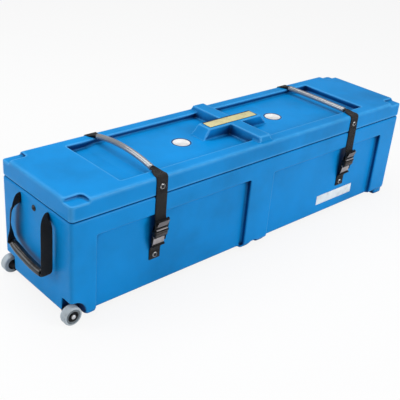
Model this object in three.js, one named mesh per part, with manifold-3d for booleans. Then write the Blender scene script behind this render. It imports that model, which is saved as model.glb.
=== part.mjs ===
// A long moulded case for drum stands: a ribbed body, a strap-hinged lid, two buckled straps,
// a webbing handle at each end and two wheels under one end.
// Millimetres, +Z up. The front with the buckles faces -Y and the wheels are at -X.
// The origin is on the floor below the middle of the case.

import * as THREE from 'three';
import { mergeVertices } from 'three/addons/utils/BufferGeometryUtils.js';
import Module from 'manifold-3d';

const wasm = await Module();
wasm.setup();

// Moulding
const CASE_LENGTH = 1270;
const CASE_WIDTH = 307;
const BODY_BOTTOM_Z = 15;
const JOINT_Z = 281;
const LID_TOP_Z = 333;
const WALL = 5;
const GAP = 0.3;
const CORNER_R = 9;
const BOTTOM_EDGE_R = 13;
const JOINT_EDGE_R = 5;
const LID_EDGE_R = 7;
const HALF_LENGTH = CASE_LENGTH / 2;
const HALF_WIDTH = CASE_WIDTH / 2;

// Recessed panels between the corner posts and the middle rib, on the front and the rear
const PANEL_DEPTH = 15.5;
const PANEL_TOP_Z = 231;
const PANEL_SPANS = [[-562, -48], [46, 553]];
const PANEL_Y = HALF_WIDTH - PANEL_DEPTH;

// Rim: a thicker wall at the joint, a lip on the body that the lid drops over, and a groove
// round the lid's lower edge that shows as the dark joint line
const BODY_RIM_Z = 269;
const LID_RIM_Z = 297;
const LID_RIM_THICK = 9;
const LIP_CLEARANCE = 1.5;
const LIP_THICK = 4;
const LIP_HEIGHT = 12;
const LIP_INSET = LID_RIM_THICK + LIP_CLEARANCE;
const GROOVE_HEIGHT = 2.4;
const GROOVE_DEPTH = 5;
const GROOVE_EDGE_R = 1.5;

// Feet: pads along the front and the rear edge, each with its span, how far out it reaches and
// where it ends. The case stands on the last ones and on its wheels.
const FEET = [
  { span: [-591, -560], outerY: 151, bottomZ: 14 },
  { span: [-59, -23], outerY: 148, bottomZ: 13 },
  { span: [5, 40], outerY: 148, bottomZ: 13 },
  { span: [590, 633], outerY: 148, bottomZ: 0 },
];
const FOOT_INNER_Y = 110;

// Notch under the middle rib, between its two feet
const RIB_NOTCH_SPAN = [-23, 5];
const RIB_NOTCH_TOP_Z = 25;

// Lid top: a sunk field, a deeper well before each end plateau, and a ramp between the two
const FIELD_DEPTH = 14;
const WELL_DEPTH = 19;
const FIELD_HALF_X = 385;
const WELL_INNER_X = 415;
const WELL_OUTER_X = 471;
const FIELD_Y0 = -115;
const FIELD_Y1 = 117;
const NOTCH_LENGTH = 52;
const NOTCH_WIDTH = 35;
const NOTCH_DEPTH = 9;

// Bars on the lid: one from front to rear, and a short one along the case that carries the plate
const BAR_TOP_Z = 348;
const BAR_ROOT_Z = LID_TOP_Z - 17;
const BAR_X = 2;
const CROSS_TOP = [20, 138];
const CROSS_ROOT = [27, HALF_WIDTH - 0.1];
const PLATE_BAR_TOP = [101.5, 24];
const PLATE_BAR_ROOT = [126, 28];
const PLATE_SIZE = [184, 33, 1];
const DISC_X = 182;
const DISC_R = 25.5;
const DISC_THICK = 1.2;
const DISC_RECESS = 2;
const LABEL_SPAN = [284, 458];
const LABEL_Z = [46, 77];
const LABEL_THICK = 0.6;

// Straps: webbing over the lid, in a tube where a hand goes
const STRAP_X = { left: -374, right: 386 };
const WEB_HALF = 18;
const WEB_THICK = 2.2;
const WEB_OFFSET = GAP + WEB_THICK / 2;
const TUBE_R = 7.8;
const TUBE_BORE_R = 6.2;
const TUBE_Y = [-112.5, 115];
const TUBE_END_Z = { left: 338.5, right: 337 };
const TUBE_RISE = { left: 12.5, right: 1.5 };
const FOLDED_WEB = [5, 2.4];
const TUBE_CUT_Y = [TUBE_Y[0] + 3, TUBE_Y[1] - 3];
const LID_SCREW_Z = 307;
const REAR_SCREW_Z = 252;
const REAR_STRAP_END_Z = 238;
const LOWER_SCREW_Z = 104;
const LOWER_STRAP_END_Z = 92;
const HALF_CUT = 0.15;

// Buckle: the strap's tail pivots below the lid, and the buckle leans out at its top.
// Spans run down the buckle from its top, and thicknesses are half of the whole.
const TAIL_PIVOT_Z = 225;
const BUCKLE_TILT = THREE.MathUtils.degToRad(7);
const BUCKLE_TOP = [-162, 215];
const BUCKLE_HALF = 24;
const SLOT_HALF = 19;
const PLUG_SPAN = [-2, 26];
const PLUG_SLOT = [3, 10];
const PLUG_THICK = 4;
const PLUG_BAR_THICK = 2;
const PLUG_BAR_MIDDLE = 0.8;
const PLUG_TIP = 52;
const TONGUE_HALF = 5;
const TONGUE_THICK = 2.6;
const PRONG_SPAN = [11, 17];
const BARB_SPAN = [12, 19.6];
const BARB_DOWN = [38, 46];
const SOCKET_SPAN = [28, 82];
const SOCKET_THICK = 6.8;
const SOCKET_SLOT = [67, 75];
const SOCKET_BAR_THICK = 2.2;
const SOCKET_BAR_MIDDLE = 77.4;
const CAVITY_HALF = 20.8;
const CAVITY_END = 58;
const CAVITY_THICK = 4.6;
const WINDOW_DOWN = [36, 50];
const WINDOW_THICK = 3.2;
const WRAP_R = 4.65;

// Fasteners
const SHANK_R = 2.3;
const SHANK_DEPTH = 9;
const SHANK_HOLE_R = 2.7;
const WASHER_R = 8.5;
const WASHER_HOLE_R = 3;
const WASHER_THICK = 2.3;
const WASHER_RIM = 0.7;
const SCREW_HEAD_R = 4.6;
const SCREW_HEAD_THICK = 2.6;

// Wheels under the -X end
const WHEEL_R = 25;
const WHEEL_X = -628;
const WHEEL_OUTER_Y = 153;
const TYRE_WIDTH = 23;
const HUB_R = 14.5;
const ARCH_R = 37;
const ARCH_INNER_Y = 111;
const AXLE_R = 4;
const HUB_BORE_R = 4.4;
const HUB_BOSS_R = 8;
const HUB_FACE_INSET = 2.5;
const BOLT_HEAD_R = 6.2;
const BOLT_HEAD_THICK = 4.6;
const BOSS_Y = 76;
const BOSS_X = -604;
const BOSS_TOP_Z = 46;
const BOLT_INNER_Y = 80;

// End handles: a webbing loop that hangs from two slots. Its rear leg is twisted, so the grip
// hangs higher at its rear end.
const HANDLE_Y = 4;
const HANDLE_WEB_HALF = 16;
const SLOT_SPREAD = 64;
const LEG_SPREAD = 83;
const SLOT_Z = [240, 268];
const SLOT_WIDTH = 5;
const HANDLE_PIVOT_Z = 264;
const HANDLE_SCREW_Z = 254;
const HANDLE_OUT = 20;
const GRIP_Z = 112;
const GRIP_R = 11.5;
const GRIP_BORE_R = 9;
const GRIP_HALF = 60;
const GRIP_SAG = 5;
const GRIP_TILT = 8;
const INNER_RUN_HALF = 13;

// Facets round a turned piece, and in a quarter turn of a moulded edge
const ROUND = 16;
const EDGE_STEPS = 3;

const plastic = (colour, roughness) => new THREE.MeshStandardMaterial({ color: colour, roughness });
const blue = plastic(0x1b86d8, 0.5);
const webbingBlack = plastic(0x16161a, 0.9);
const buckleBlack = plastic(0x2a2c30, 0.45);
const tubeGrey = plastic(0xc3ccd0, 0.15);
const gripBlack = plastic(0x26282a, 0.2);
const tyreGrey = plastic(0xaeb9bd, 0.7);
const hubBlack = plastic(0x101114, 0.5);
const steel = new THREE.MeshStandardMaterial({ color: 0xc9ccd0, roughness: 0.3, metalness: 1 });
const plateYellow = plastic(0xe3d27a, 0.5);
const discWhite = plastic(0xf2f0ea, 0.5);

// Closed solids

function solid(geometry) {
  const bare = geometry.clone();
  bare.deleteAttribute('normal');
  bare.deleteAttribute('uv');
  const merged = mergeVertices(bare, 1e-4);
  const points = merged.getAttribute('position');
  const corners = [new THREE.Vector3(), new THREE.Vector3(), new THREE.Vector3()];
  const faces = [];
  let volume = 0;
  for (let i = 0; i < merged.index.count; i += 3) {
    const face = [0, 1, 2].map((k) => merged.index.getX(i + k));
    if (new Set(face).size < 3) continue;
    face.forEach((index, k) => corners[k].fromBufferAttribute(points, index));
    volume += corners[0].dot(corners[1].clone().cross(corners[2]));
    faces.push(face);
  }
  const outward = volume > 0 ? faces : faces.map((face) => face.toReversed());
  return new wasm.Manifold(new wasm.Mesh({
    numProp: 3,
    vertProperties: new Float32Array(points.array),
    triVerts: new Uint32Array(outward.flat()),
  }));
}

function geometryOf(shape) {
  const mesh = shape.getMesh();
  const geometry = new THREE.BufferGeometry();
  geometry.setAttribute('position', new THREE.Float32BufferAttribute(mesh.vertProperties, 3));
  geometry.setIndex(new THREE.BufferAttribute(mesh.triVerts, 1));
  geometry.computeVertexNormals();
  return geometry;
}

// A solid through rings of points, each ring counter-clockwise about the way it travels
function loft(rings) {
  const count = rings[0].length;
  const positions = rings.flat().flatMap((point) => point.toArray());
  const faces = [];
  for (let r = 0; r + 1 < rings.length; r += 1) {
    for (let k = 0; k < count; k += 1) {
      const next = (k + 1) % count;
      const [a, b] = [r * count + k, r * count + next];
      faces.push(a, b, b + count, a, b + count, a + count);
    }
  }
  const last = (rings.length - 1) * count;
  for (let k = 1; k + 1 < count; k += 1) {
    faces.push(0, k + 1, k, last, last + k, last + k + 1);
  }
  const geometry = new THREE.BufferGeometry();
  geometry.setAttribute('position', new THREE.Float32BufferAttribute(positions, 3));
  geometry.setIndex(faces);
  return solid(geometry);
}

function boxGeometry([x0, x1], [y0, y1], [z0, z1]) {
  const geometry = new THREE.BoxGeometry(x1 - x0, y1 - y0, z1 - z0);
  return geometry.translate((x0 + x1) / 2, (y0 + y1) / 2, (z0 + z1) / 2);
}

const box = (x, y, z) => solid(boxGeometry(x, y, z));

// A span of one side: side -1 is the front, side 1 the rear
const spanOn = (side, near, far) => (side < 0 ? [-far, -near] : [near, far]);

function roundedRectangle([x0, x1], [y0, y1], radius, z) {
  const centres = [[x1, y1, 0], [x0, y1, 1], [x0, y0, 2], [x1, y0, 3]];
  return centres.flatMap(([x, y, quarter]) => {
    const cx = x === x1 ? x1 - radius : x0 + radius;
    const cy = y === y1 ? y1 - radius : y0 + radius;
    return Array.from({ length: EDGE_STEPS + 1 }, (_, k) => {
      const angle = (quarter + k / EDGE_STEPS) * Math.PI / 2;
      return new THREE.Vector3(cx + radius * Math.cos(angle), cy + radius * Math.sin(angle), z);
    });
  });
}

// An upright block with rounded corners, and a rounded bottom and top edge where these are given
function roundedBlock([x0, x1], [y0, y1], [z0, z1], { corner, bottom = 0, top = 0 }) {
  const arc = (radius) => Array.from({ length: radius ? EDGE_STEPS + 1 : 1 }, (_, k) => {
    const angle = (k / EDGE_STEPS) * Math.PI / 2;
    return [radius * (1 - Math.sin(angle)), radius * (1 - Math.cos(angle))];
  });
  const levels = [
    ...arc(bottom).map(([inset, rise]) => [inset, z0 + rise]),
    ...arc(top).reverse().map(([inset, drop]) => [inset, z1 - drop]),
  ];
  return loft(levels.map(([inset, z]) => roundedRectangle(
    [x0 + inset, x1 - inset],
    [y0 + inset, y1 - inset],
    Math.max(corner - inset, 1.5),
    z,
  )));
}

// A block that narrows from its root to its top, given as half sizes
function frustum([rootX, rootY], rootZ, [topX, topY], topZ) {
  const ring = (x, y, z) => [[x, y], [-x, y], [-x, -y], [x, -y]]
    .map(([px, py]) => new THREE.Vector3(BAR_X + px, py, z));
  return loft([ring(rootX, rootY, rootZ), ring(topX, topY, topZ)]);
}

// A turned piece: its profile is [radius, height] and its axis points along direction from at
function turned(profile, at, direction, segments = ROUND) {
  const points = profile.map(([radius, height]) => new THREE.Vector2(radius, height));
  const geometry = new THREE.LatheGeometry(points, segments);
  const turn = new THREE.Quaternion().setFromUnitVectors(
    new THREE.Vector3(0, 1, 0),
    new THREE.Vector3(...direction),
  );
  return solid(geometry.applyQuaternion(turn).translate(...at));
}

const rod = (radius, length, at, direction, segments) => turned(
  [[0, 0], [radius, 0], [radius, length], [0, length]],
  at,
  direction,
  segments,
);

// Flat webbing through stations { at, across, half, thick }, where thick is half the thickness
function ribbon(stations) {
  const centres = stations.map(({ at }) => new THREE.Vector3(...at));
  return loft(stations.map(({ across, half, thick }, i) => {
    const before = centres[Math.max(i - 1, 0)];
    const after = centres[Math.min(i + 1, centres.length - 1)];
    const along = after.clone().sub(before).normalize();
    const width = new THREE.Vector3(...across);
    width.addScaledVector(along, -width.dot(along)).normalize();
    const up = along.clone().cross(width);
    return [[-1, -1], [1, -1], [1, 1], [-1, 1]].map(([a, b]) => centres[i].clone()
      .addScaledVector(width, a * half)
      .addScaledVector(up, b * thick));
  }));
}

// Webbing that runs in a plane of constant x, through points [y, z, half width, half thickness]
function strap(x, points) {
  return ribbon(points.map(([y, z, half = WEB_HALF, thick = WEB_THICK / 2]) => ({
    at: [x, y, z],
    across: [1, 0, 0],
    half,
    thick,
  })));
}

// A bored tube along a curve through the points
function boredTube(points, outer, bore, sides, steps) {
  const along = (radius) => {
    const outline = new THREE.Shape().absarc(0, 0, radius, 0, 2 * Math.PI);
    return solid(new THREE.ExtrudeGeometry(outline, {
      steps,
      curveSegments: sides / 2,
      bevelEnabled: false,
      extrudePath: new THREE.CatmullRomCurve3(points.map((point) => new THREE.Vector3(...point))),
    }));
  };
  return along(outer).subtract(along(bore));
}

const group = new THREE.Group();

function place(name, shape, material) {
  const mesh = new THREE.Mesh(geometryOf(shape), material);
  mesh.name = name;
  group.add(mesh);
}

// Body

const SIDES = [-1, 1];
const WHEEL_SIDES = { front: -1, rear: 1 };
const END_SIDES = { wheel_end: -1, far_end: 1 };

// What is cut from the sides: the panels, and the notch under the middle rib
function recesses(grow) {
  const cuts = [...PANEL_SPANS.map((span) => [span, PANEL_TOP_Z]), [RIB_NOTCH_SPAN, RIB_NOTCH_TOP_Z]];
  return SIDES.flatMap((side) => cuts.map(([[x0, x1], topZ]) => roundedBlock(
    [x0 - grow, x1 + grow],
    spanOn(side, PANEL_Y - grow, HALF_WIDTH + 20),
    [BODY_BOTTOM_Z - 30, topZ + grow],
    { corner: 4 },
  )));
}

function arches(grow) {
  return SIDES.map((side) => rod(
    ARCH_R + grow,
    60,
    [WHEEL_X, side * (ARCH_INNER_Y - grow), WHEEL_R],
    [0, side, 0],
    24,
  ));
}

// Solid bosses in the corners, which the axle bolts are threaded into
const bosses = () => SIDES.map((side) => box(
  [-HALF_LENGTH, BOSS_X],
  spanOn(side, BOSS_Y, ARCH_INNER_Y + 4),
  [0, BOSS_TOP_Z],
));

const cutAll = (shape, tools) => tools.reduce((rest, tool) => rest.subtract(tool), shape);
const joinAll = (shape, tools) => tools.reduce((rest, tool) => rest.add(tool), shape);

// A hole for a screw's shank through a wall at the point, along the direction
const shankHole = (at, direction) => rod(
  SHANK_HOLE_R,
  40,
  at.map((value, i) => value - 20 * direction[i]),
  direction,
  12,
);

const handleSlotY = SIDES.map((side) => HANDLE_Y + side * SLOT_SPREAD);

function bodyShell() {
  const insetPlan = (inset) => [
    [-HALF_LENGTH + inset, HALF_LENGTH - inset],
    [-HALF_WIDTH + inset, HALF_WIDTH - inset],
  ];
  const outside = roundedBlock(
    ...insetPlan(0),
    [BODY_BOTTOM_Z, JOINT_Z],
    { corner: CORNER_R, bottom: BOTTOM_EDGE_R, top: JOINT_EDGE_R },
  );
  const lip = roundedBlock(
    ...insetPlan(LIP_INSET),
    [JOINT_Z - 2, JOINT_Z + LIP_HEIGHT],
    { corner: CORNER_R - LIP_INSET + 4 },
  );
  const feet = SIDES.flatMap((side) => FEET.map(({ span, outerY, bottomZ }) => roundedBlock(
    span,
    spanOn(side, FOOT_INNER_Y, outerY),
    [bottomZ, BODY_BOTTOM_Z + WALL],
    { corner: 7, bottom: 4 },
  )));
  const hollow = cutAll(
    roundedBlock(
      ...insetPlan(WALL),
      [BODY_BOTTOM_Z + WALL, BODY_RIM_Z],
      { corner: CORNER_R - WALL, bottom: BOTTOM_EDGE_R - WALL },
    ),
    [...recesses(WALL), ...arches(WALL), ...bosses()],
  );
  const mouth = roundedBlock(
    ...insetPlan(LIP_INSET + LIP_THICK),
    [BODY_RIM_Z - 10, JOINT_Z + LIP_HEIGHT + 5],
    { corner: 4 },
  );
  const holes = [];
  for (const x of Object.values(STRAP_X)) {
    holes.push(shankHole([x, -PANEL_Y, LOWER_SCREW_Z], [0, -1, 0]));
    holes.push(shankHole([x, HALF_WIDTH, REAR_SCREW_Z], [0, 1, 0]));
  }
  for (const side of Object.values(END_SIDES)) {
    holes.push(shankHole([side * HALF_LENGTH, HANDLE_Y, HANDLE_SCREW_Z], [side, 0, 0]));
    for (const y of handleSlotY) {
      holes.push(box(
        [side * HALF_LENGTH - 12, side * HALF_LENGTH + 12],
        [y - SLOT_WIDTH / 2, y + SLOT_WIDTH / 2],
        SLOT_Z,
      ));
    }
  }
  for (const side of SIDES) {
    const bottom = [WHEEL_X, side * (BOLT_INNER_Y - GAP), WHEEL_R];
    holes.push(rod(AXLE_R + GAP, 40, bottom, [0, side, 0], 16));
  }
  const moulded = joinAll(cutAll(outside, recesses(0)), [...feet, lip]);
  return cutAll(moulded, [...arches(0), hollow, mouth, ...holes]);
}

place('body_shell', bodyShell(), blue);

// Lid

function fieldCut() {
  const profile = new THREE.Shape([
    [-WELL_OUTER_X, LID_TOP_Z + 30],
    [-WELL_OUTER_X, LID_TOP_Z - WELL_DEPTH],
    [-WELL_INNER_X, LID_TOP_Z - WELL_DEPTH],
    [-FIELD_HALF_X, LID_TOP_Z - FIELD_DEPTH],
    [FIELD_HALF_X, LID_TOP_Z - FIELD_DEPTH],
    [WELL_INNER_X, LID_TOP_Z - WELL_DEPTH],
    [WELL_OUTER_X, LID_TOP_Z - WELL_DEPTH],
    [WELL_OUTER_X, LID_TOP_Z + 30],
  ].map(([x, z]) => new THREE.Vector2(x, z)));
  const width = FIELD_Y1 - FIELD_Y0;
  const geometry = new THREE.ExtrudeGeometry(profile, { depth: width, bevelEnabled: false });
  return solid(geometry.rotateX(Math.PI / 2).translate(0, FIELD_Y1, 0));
}

function notches(grow) {
  return SIDES.flatMap((endSide) => SIDES.map((side) => {
    const x = spanOn(endSide, HALF_LENGTH - NOTCH_LENGTH - grow, HALF_LENGTH + 20);
    const y = spanOn(side, HALF_WIDTH - NOTCH_WIDTH - grow, HALF_WIDTH + 20);
    return roundedBlock(x, y, [LID_TOP_Z - NOTCH_DEPTH - grow, LID_TOP_Z + 20], { corner: 10 });
  }));
}

function lidShell() {
  const plan = (inset) => [
    [-HALF_LENGTH + inset, HALF_LENGTH - inset],
    [-HALF_WIDTH + inset, HALF_WIDTH - inset],
  ];
  const seatZ = JOINT_Z + GAP;
  const outside = roundedBlock(
    ...plan(0),
    [seatZ + GROOVE_HEIGHT, LID_TOP_Z],
    { corner: CORNER_R, bottom: GROOVE_EDGE_R, top: LID_EDGE_R },
  ).add(roundedBlock(...plan(GROOVE_DEPTH), [seatZ, LID_RIM_Z], { corner: CORNER_R - GROOVE_DEPTH }));
  const shrink = ([x, y], by) => [x - by, y - by];
  const barSizes = [[CROSS_ROOT, CROSS_TOP], [PLATE_BAR_ROOT, PLATE_BAR_TOP]];
  const bars = barSizes.map(([root, top]) => frustum(root, BAR_ROOT_Z, top, BAR_TOP_Z));
  const barHollows = barSizes.map(([root, top]) => frustum(
    shrink(root, WALL + 2),
    BAR_ROOT_Z - 10,
    shrink(top, WALL),
    BAR_TOP_Z - WALL,
  ));
  const plateauX = WELL_OUTER_X + WALL;
  const wallX = HALF_LENGTH - WALL;
  const wallY = HALF_WIDTH - WALL;
  const skin = LID_TOP_Z - WALL;
  const centreY = [FIELD_Y0 - WALL - 1, FIELD_Y1 + WALL + 1];
  const plateaus = SIDES.map((side) => {
    const x = spanOn(side, plateauX, wallX);
    const room = roundedBlock(x, [-wallY, wallY], [LID_RIM_Z, skin], { corner: 8, top: 5 });
    return cutAll(room, notches(WALL));
  });
  const channels = [[-wallY, FIELD_Y0 - WALL], [FIELD_Y1 + WALL, wallY]].map((y) => (
    box([-plateauX - 2, plateauX + 2], y, [LID_RIM_Z, skin - 1])
  ));
  const wellX = WELL_OUTER_X + WALL + 2;
  const fieldX = FIELD_HALF_X - WALL;
  const floorZ = LID_TOP_Z - FIELD_DEPTH;
  const hollows = [
    roundedBlock(...plan(LID_RIM_THICK), [JOINT_Z - 5, LID_RIM_Z + 1], { corner: 6 }),
    box([-wellX, wellX], centreY, [LID_RIM_Z, LID_TOP_Z - WELL_DEPTH - WALL]),
    box([-fieldX, fieldX], centreY, [LID_RIM_Z, floorZ - WALL]),
    ...plateaus,
    ...channels,
    ...barHollows,
  ];
  const discRecesses = SIDES.map((side) => (
    rod(DISC_R + 2, 20, [BAR_X + side * DISC_X, 0, floorZ - DISC_RECESS], [0, 0, 1], 28)
  ));
  const holes = Object.values(STRAP_X).flatMap((x) => SIDES.map((side) => (
    shankHole([x, side * HALF_WIDTH, LID_SCREW_Z], [0, side, 0])
  )));
  const sunk = joinAll(cutAll(outside, [fieldCut(), ...notches(0)]), bars);
  return cutAll(sunk, [...hollows, ...discRecesses, ...holes]);
}

place('lid_shell', lidShell(), blue);
place('name_plate', box(
  [BAR_X - PLATE_SIZE[0] / 2, BAR_X + PLATE_SIZE[0] / 2],
  [-PLATE_SIZE[1] / 2, PLATE_SIZE[1] / 2],
  [BAR_TOP_Z + GAP, BAR_TOP_Z + GAP + PLATE_SIZE[2]],
), plateYellow);
for (const [name, side] of Object.entries({ left: -1, right: 1 })) {
  const at = [BAR_X + side * DISC_X, 0, LID_TOP_Z - FIELD_DEPTH - DISC_RECESS + GAP];
  place(`lid_disc_${name}`, rod(DISC_R, DISC_THICK, at, [0, 0, 1], 28), discWhite);
}
place('panel_label', box(
  LABEL_SPAN,
  [-PANEL_Y - GAP - LABEL_THICK, -PANEL_Y - GAP],
  LABEL_Z,
), discWhite);

// Fasteners: a cupped washer and a pan-head screw on the outer face of the webbing

function fastener(name, at, direction) {
  const washer = [
    [WASHER_HOLE_R, GAP],
    [WASHER_R, GAP],
    [WASHER_R, GAP + WASHER_RIM],
    [WASHER_R * 0.67, GAP + WASHER_THICK],
    [WASHER_HOLE_R, GAP + WASHER_THICK],
    [WASHER_HOLE_R, GAP],
  ];
  const head = 2 * GAP + WASHER_THICK;
  const screw = [
    [0, -SHANK_DEPTH],
    [SHANK_R, -SHANK_DEPTH],
    [SHANK_R, head],
    [SCREW_HEAD_R, head],
    [SCREW_HEAD_R, head + SCREW_HEAD_THICK * 0.45],
    [SCREW_HEAD_R * 0.65, head + SCREW_HEAD_THICK * 0.92],
    [0, head + SCREW_HEAD_THICK],
  ];
  place(`${name}_washer`, turned(washer, at, direction), steel);
  place(`${name}_screw`, turned(screw, at, direction, 12), steel);
}

// Straps over the lid

const webOuter = HALF_WIDTH + GAP + WEB_THICK;
const webY = HALF_WIDTH + WEB_OFFSET;

// Points [y, z] round the lid's top edge, from the wall to the top
const edgeTurn = (side) => Array.from({ length: EDGE_STEPS + 1 }, (_, k) => {
  const angle = (k / EDGE_STEPS) * Math.PI / 2;
  const reach = LID_EDGE_R + WEB_OFFSET;
  return [
    side * (HALF_WIDTH - LID_EDGE_R + reach * Math.cos(angle)),
    LID_TOP_Z - LID_EDGE_R + reach * Math.sin(angle),
  ];
});

function tubeHeight(name, y) {
  const middle = (TUBE_Y[0] + TUBE_Y[1]) / 2;
  const offset = (y - middle) / ((TUBE_Y[1] - TUBE_Y[0]) / 2);
  return TUBE_END_Z[name] + TUBE_RISE[name] * (1 - offset * offset);
}

const tubeStations = (name, count) => Array.from({ length: count + 1 }, (_, k) => {
  const y = TUBE_Y[0] + ((TUBE_Y[1] - TUBE_Y[0]) * k) / count;
  return [y, tubeHeight(name, y)];
});

// The webbing over the lid gathers toward its tube and runs through it folded
function lidStrap(name, x) {
  const inTube = tubeStations(name, 8).map(([y, z]) => [y, z, ...FOLDED_WEB]);
  const path = [
    [-webY, TAIL_PIVOT_Z + HALF_CUT],
    [-webY, LID_SCREW_Z],
    ...edgeTurn(-1),
    [-137, LID_TOP_Z + WEB_OFFSET, 17],
    [-126, LID_TOP_Z + 2.6, 13.5, 1.4],
    [-118, LID_TOP_Z + 4.2, 8.5, 2],
    ...inTube,
    [121, LID_TOP_Z + 4.2, 8.5, 2],
    [130, LID_TOP_Z + 2.6, 13.5, 1.4],
    [139, LID_TOP_Z + WEB_OFFSET, 17],
    ...edgeTurn(1).reverse(),
    [webY, LID_SCREW_Z],
    [webY, JOINT_Z + HALF_CUT],
  ];
  const holes = SIDES.map((side) => shankHole([x, side * webY, LID_SCREW_Z], [0, side, 0]));
  return cutAll(strap(x, path), holes);
}

for (const [name, x] of Object.entries(STRAP_X)) {
  const whole = lidStrap(name, x);
  const lengths = {
    lid_strap_front: [-200, TUBE_CUT_Y[0] - HALF_CUT],
    tube_webbing: [TUBE_CUT_Y[0] + HALF_CUT, TUBE_CUT_Y[1] - HALF_CUT],
    lid_strap_rear: [TUBE_CUT_Y[1] + HALF_CUT, 200],
  };
  for (const [length, y] of Object.entries(lengths)) {
    const part = whole.intersect(box([x - 30, x + 30], y, [TAIL_PIVOT_Z - 20, BAR_TOP_Z + 30]));
    place(`${length}_${name}`, part, webbingBlack);
  }
  const path = tubeStations(name, 6).map(([y, z]) => [x, y, z]);
  place(`carry_tube_${name}`, boredTube(path, TUBE_R, TUBE_BORE_R, 12, 10), tubeGrey);
  fastener(`lid_front_${name}`, [x, -webOuter, LID_SCREW_Z], [0, -1, 0]);
  fastener(`lid_rear_${name}`, [x, webOuter, LID_SCREW_Z], [0, 1, 0]);
  place(`hinge_strap_${name}`, strap(x, [
    [webY, JOINT_Z - HALF_CUT],
    [webY, REAR_SCREW_Z],
    [webY, REAR_STRAP_END_Z],
  ]).subtract(shankHole([x, webY, REAR_SCREW_Z], [0, 1, 0])), webbingBlack);
  fastener(`body_rear_${name}`, [x, webOuter, REAR_SCREW_Z], [0, 1, 0]);
}

// Buckles: places on them are [x, distance down the buckle, distance out of its middle plane]

const buckleUp = new THREE.Vector3(0, -Math.sin(BUCKLE_TILT), Math.cos(BUCKLE_TILT));
const buckleOut = new THREE.Vector3(0, -Math.cos(BUCKLE_TILT), -Math.sin(BUCKLE_TILT));

function buckleBox(strapX, x, [down0, down1], out) {
  const frame = new THREE.Matrix4()
    .makeBasis(new THREE.Vector3(1, 0, 0), buckleUp, buckleOut)
    .setPosition(strapX, ...BUCKLE_TOP);
  return solid(boxGeometry(x, [-down1, -down0], out).applyMatrix4(frame));
}

// A point [y, z] of the webbing from its place on the buckle
function onBuckle([down, out]) {
  const point = new THREE.Vector3(0, ...BUCKLE_TOP)
    .addScaledVector(buckleUp, -down)
    .addScaledVector(buckleOut, out);
  return [point.y, point.z];
}

const across = (half) => [-half, half];

// A bar is thinned on both of its faces, so that the webbing goes round it inside the buckle
function thinnedBar(x, down, thick) {
  return SIDES.map((side) => buckleBox(x, across(SLOT_HALF), down, spanOn(side, thick, 25)));
}

function plug(x) {
  const frame = buckleBox(x, across(BUCKLE_HALF), PLUG_SPAN, across(PLUG_THICK));
  const slot = buckleBox(x, across(SLOT_HALF), PLUG_SLOT, across(25));
  const bar = thinnedBar(x, [PLUG_SPAN[0] - 7, PLUG_SLOT[0] + 1], PLUG_BAR_THICK);
  const tongue = buckleBox(
    x,
    across(TONGUE_HALF),
    [PLUG_SPAN[1] - 1, PLUG_TIP],
    across(TONGUE_THICK),
  );
  return cutAll(frame, [slot, ...bar]).add(tongue);
}

function prong(x, side) {
  const down = [PLUG_SPAN[1] + GAP, PLUG_TIP];
  const arm = buckleBox(x, spanOn(side, ...PRONG_SPAN), down, across(TONGUE_THICK));
  const barb = buckleBox(x, spanOn(side, ...BARB_SPAN), BARB_DOWN, across(TONGUE_THICK));
  return arm.add(barb);
}

function socket(x) {
  const body = buckleBox(x, across(BUCKLE_HALF), SOCKET_SPAN, across(SOCKET_THICK));
  const cavitySpan = [SOCKET_SPAN[0] - 9, CAVITY_END];
  const cavity = buckleBox(x, across(CAVITY_HALF), cavitySpan, across(CAVITY_THICK));
  const windows = buckleBox(x, across(BUCKLE_HALF + 9), WINDOW_DOWN, across(WINDOW_THICK));
  const slot = buckleBox(x, across(SLOT_HALF), SOCKET_SLOT, across(25));
  const bar = thinnedBar(x, [SOCKET_SLOT[1] - 1, SOCKET_SPAN[1] + 9], SOCKET_BAR_THICK);
  return cutAll(body, [cavity, windows, slot, ...bar]);
}

// Webbing round a bar, from the back of the buckle to its front: sense 1 is round below the bar
const wrap = (down, sense) => [-90, -45, 0, 45, 90].map((degrees) => {
  const angle = THREE.MathUtils.degToRad(degrees);
  return onBuckle([down + sense * WRAP_R * Math.cos(angle), WRAP_R * Math.sin(angle)]);
});

const tailPath = [
  [-webY, TAIL_PIVOT_Z - 0.15],
  [-webY, TAIL_PIVOT_Z - 3],
  [-webY - 0.8, TAIL_PIVOT_Z - 6.5],
  ...wrap(PLUG_BAR_MIDDLE, 1),
  onBuckle([PLUG_SPAN[0] - 2, WRAP_R]),
];
const lowerPath = [
  onBuckle([SOCKET_SPAN[1], WRAP_R]),
  ...wrap(SOCKET_BAR_MIDDLE, -1).reverse(),
  onBuckle([SOCKET_SPAN[1] - 1, -WRAP_R - 0.2]),
  [-PANEL_Y - 4.6, 129],
  [-PANEL_Y - 2.2, 123],
  [-PANEL_Y - WEB_OFFSET, 119.5],
  [-PANEL_Y - WEB_OFFSET, LOWER_SCREW_Z],
  [-PANEL_Y - WEB_OFFSET, LOWER_STRAP_END_Z],
];

for (const [name, x] of Object.entries(STRAP_X)) {
  place(`strap_tail_${name}`, strap(x, tailPath), webbingBlack);
  place(`buckle_plug_${name}`, plug(x), buckleBlack);
  place(`buckle_socket_${name}`, socket(x), buckleBlack);
  for (const [hand, side] of Object.entries({ a: -1, b: 1 })) {
    place(`buckle_prong_${name}_${hand}`, prong(x, side), buckleBlack);
  }
  const hole = shankHole([x, -PANEL_Y - WEB_OFFSET, LOWER_SCREW_Z], [0, -1, 0]);
  place(`lower_strap_${name}`, strap(x, lowerPath).subtract(hole), webbingBlack);
  fastener(`lower_${name}`, [x, -PANEL_Y - GAP - WEB_THICK, LOWER_SCREW_Z], [0, -1, 0]);
}

// End handles

const legX = HALF_LENGTH + HANDLE_OUT;
const slant = Math.SQRT1_2;

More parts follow.
